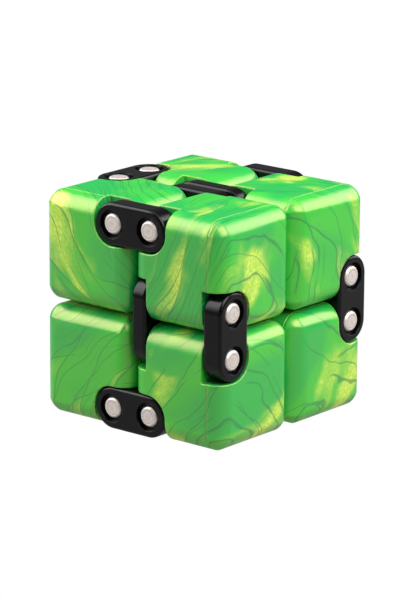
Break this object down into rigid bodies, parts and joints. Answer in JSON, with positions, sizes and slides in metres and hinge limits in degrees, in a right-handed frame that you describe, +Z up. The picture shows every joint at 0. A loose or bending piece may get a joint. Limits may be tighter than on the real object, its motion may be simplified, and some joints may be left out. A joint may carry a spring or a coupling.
{
  "type": "folding fidget cube",
  "caption": "Pocket fidget cube: small hollow cubes joined in an endless loop by double-pivot straps, so it folds flat, long and back to a cube.",
  "frame": {"origin": "centre of the bottom face, which the closed cube rests on", "axes": "+Z up; -Y out of the front face, which has two straps across it; +X out of the right face, which has two upright straps"},
  "size_m": [0.04, 0.04, 0.04],
  "materials": {
    "green_plastic": "pearly green with yellow-green swirls, satin gloss",
    "black_plastic": "satin black",
    "steel": "brushed pin ends with a bright bevel"
  },
  "bodies": {
    "cube_top_left_front": {"shell_top_left_front": "green_plastic", "cover_top_left_front": "green_plastic"},
    "cube_top_left_back": {"shell_top_left_back": "green_plastic", "cover_top_left_back": "green_plastic"},
    "cube_top_right_front": {"shell_top_right_front": "green_plastic", "cover_top_right_front": "green_plastic"},
    "cube_top_right_back": {"shell_top_right_back": "green_plastic", "cover_top_right_back": "green_plastic"},
    "cube_bottom_right_front": {"shell_bottom_right_front": "green_plastic", "cover_bottom_right_front": "green_plastic"},
    "cube_bottom_right_back": {"shell_bottom_right_back": "green_plastic", "cover_bottom_right_back": "green_plastic"},
    "cube_bottom_left_front": {"shell_bottom_left_front": "green_plastic", "cover_bottom_left_front": "green_plastic"},
    "cube_bottom_left_back": {"shell_bottom_left_back": "green_plastic", "cover_bottom_left_back": "green_plastic"},
    "strap_top_front": {"outer_plate_top_front": "black_plastic", "inner_plate_top_front": "black_plastic", "pin_top_front_left": "steel", "pin_top_front_right": "steel"},
    "strap_top_back": {"outer_plate_top_back": "black_plastic", "inner_plate_top_back": "black_plastic", "pin_top_back_left": "steel", "pin_top_back_right": "steel"},
    "strap_bottom_front": {"outer_plate_bottom_front": "black_plastic", "inner_plate_bottom_front": "black_plastic", "pin_bottom_front_left": "steel", "pin_bottom_front_right": "steel"},
    "strap_bottom_back": {"outer_plate_bottom_back": "black_plastic", "inner_plate_bottom_back": "black_plastic", "pin_bottom_back_left": "steel", "pin_bottom_back_right": "steel"},
    "strap_right_front": {"outer_plate_right_front": "black_plastic", "inner_plate_right_front": "black_plastic", "pin_right_front_lower": "steel", "pin_right_front_upper": "steel"},
    "strap_right_back": {"outer_plate_right_back": "black_plastic", "inner_plate_right_back": "black_plastic", "pin_right_back_lower": "steel", "pin_right_back_upper": "steel"},
    "strap_left_top": {"outer_plate_left_top": "black_plastic", "inner_plate_left_top": "black_plastic", "pin_left_top_front": "steel", "pin_left_top_back": "steel"},
    "strap_left_bottom": {"outer_plate_left_bottom": "black_plastic", "inner_plate_left_bottom": "black_plastic", "pin_left_bottom_front": "steel", "pin_left_bottom_back": "steel"}
  },
  "joints": [
    {"name": "row_fold", "type": "hinge", "parent": "cube_bottom_right_front", "child": "strap_right_front", "pos_m": [0.01, -0.0162, 0.01595], "axis": [1, 0, 0], "range_deg": [0, 90]},
    {"name": "row_fold_front_upper", "type": "hinge", "parent": "strap_right_front", "child": "cube_top_right_front", "pos_m": [0.01, -0.0162, 0.02405], "axis": [1, 0, 0], "range_deg": [0, 90]},
    {"name": "row_fold_back_upper", "type": "hinge", "parent": "cube_top_right_back", "child": "strap_right_back", "pos_m": [0.01, 0.0162, 0.02405], "axis": [1, 0, 0], "range_deg": [0, 90]},
    {"name": "top_pair_fold", "type": "hinge", "parent": "cube_top_right_front", "child": "strap_top_front", "pos_m": [0.00405, -0.01, 0.0362], "axis": [0, 1, 0], "range_deg": [0, 90]},
    {"name": "top_pair_fold_front_left", "type": "hinge", "parent": "strap_top_front", "child": "cube_top_left_front", "pos_m": [-0.00405, -0.01, 0.0362], "axis": [0, 1, 0], "range_deg": [0, 90]},
    {"name": "top_pair_fold_back_left", "type": "hinge", "parent": "cube_top_left_back", "child": "strap_top_back", "pos_m": [-0.00405, 0.01, 0.0362], "axis": [0, -1, 0], "range_deg": [0, 90]},
    {"name": "top_pair_fold_back_right", "type": "hinge", "parent": "strap_top_back", "child": "cube_top_right_back", "pos_m": [0.00405, 0.01, 0.0362], "axis": [0, -1, 0], "range_deg": [0, 90]},
    {"name": "bottom_pair_fold", "type": "hinge", "parent": "cube_bottom_right_front", "child": "strap_bottom_front", "pos_m": [0.00405, -0.01, 0.0038], "axis": [0, -1, 0], "range_deg": [0, 90]},
    {"name": "bottom_pair_fold_front_left", "type": "hinge", "parent": "strap_bottom_front", "child": "cube_bottom_left_front", "pos_m": [-0.00405, -0.01, 0.0038], "axis": [0, -1, 0], "range_deg": [0, 90]},
    {"name": "bottom_pair_fold_back_left", "type": "hinge", "parent": "cube_bottom_left_back", "child": "strap_bottom_back", "pos_m": [-0.00405, 0.01, 0.0038], "axis": [0, 1, 0], "range_deg": [0, 90]},
    {"name": "bottom_pair_fold_back_right", "type": "hinge", "parent": "strap_bottom_back", "child": "cube_bottom_right_back", "pos_m": [0.00405, 0.01, 0.0038], "axis": [0, 1, 0], "range_deg": [0, 90]},
    {"name": "book_fold", "type": "hinge", "parent": "cube_top_left_front", "child": "strap_left_top", "pos_m": [-0.0162, -0.00405, 0.03], "axis": [0, 0, 1], "range_deg": [0, 90]},
    {"name": "book_fold_top_back", "type": "hinge", "parent": "strap_left_top", "child": "cube_top_left_back", "pos_m": [-0.0162, 0.00405, 0.03], "axis": [0, 0, 1], "range_deg": [0, 90]},
    {"name": "book_fold_bottom_front", "type": "hinge", "parent": "cube_bottom_left_front", "child": "strap_left_bottom", "pos_m": [-0.0162, -0.00405, 0.01], "axis": [0, 0, 1], "range_deg": [0, 90]},
    {"name": "book_fold_bottom_back", "type": "hinge", "parent": "strap_left_bottom", "child": "cube_bottom_left_back", "pos_m": [-0.0162, 0.00405, 0.01], "axis": [0, 0, 1], "range_deg": [0, 90]}
  ],
  "couplings": [
    {"joint": "row_fold_front_upper", "follows": "row_fold", "ratio": 1},
    {"joint": "row_fold_back_upper", "follows": "row_fold", "ratio": 1},
    {"joint": "top_pair_fold_front_left", "follows": "top_pair_fold", "ratio": 1},
    {"joint": "top_pair_fold_back_left", "follows": "top_pair_fold", "ratio": 1},
    {"joint": "top_pair_fold_back_right", "follows": "top_pair_fold", "ratio": 1},
    {"joint": "bottom_pair_fold_front_left", "follows": "bottom_pair_fold", "ratio": 1},
    {"joint": "bottom_pair_fold_back_left", "follows": "bottom_pair_fold", "ratio": 1},
    {"joint": "bottom_pair_fold_back_right", "follows": "bottom_pair_fold", "ratio": 1},
    {"joint": "book_fold_top_back", "follows": "book_fold", "ratio": 1},
    {"joint": "book_fold_bottom_front", "follows": "book_fold", "ratio": 1},
    {"joint": "book_fold_bottom_back", "follows": "book_fold", "ratio": 1}
  ]
}
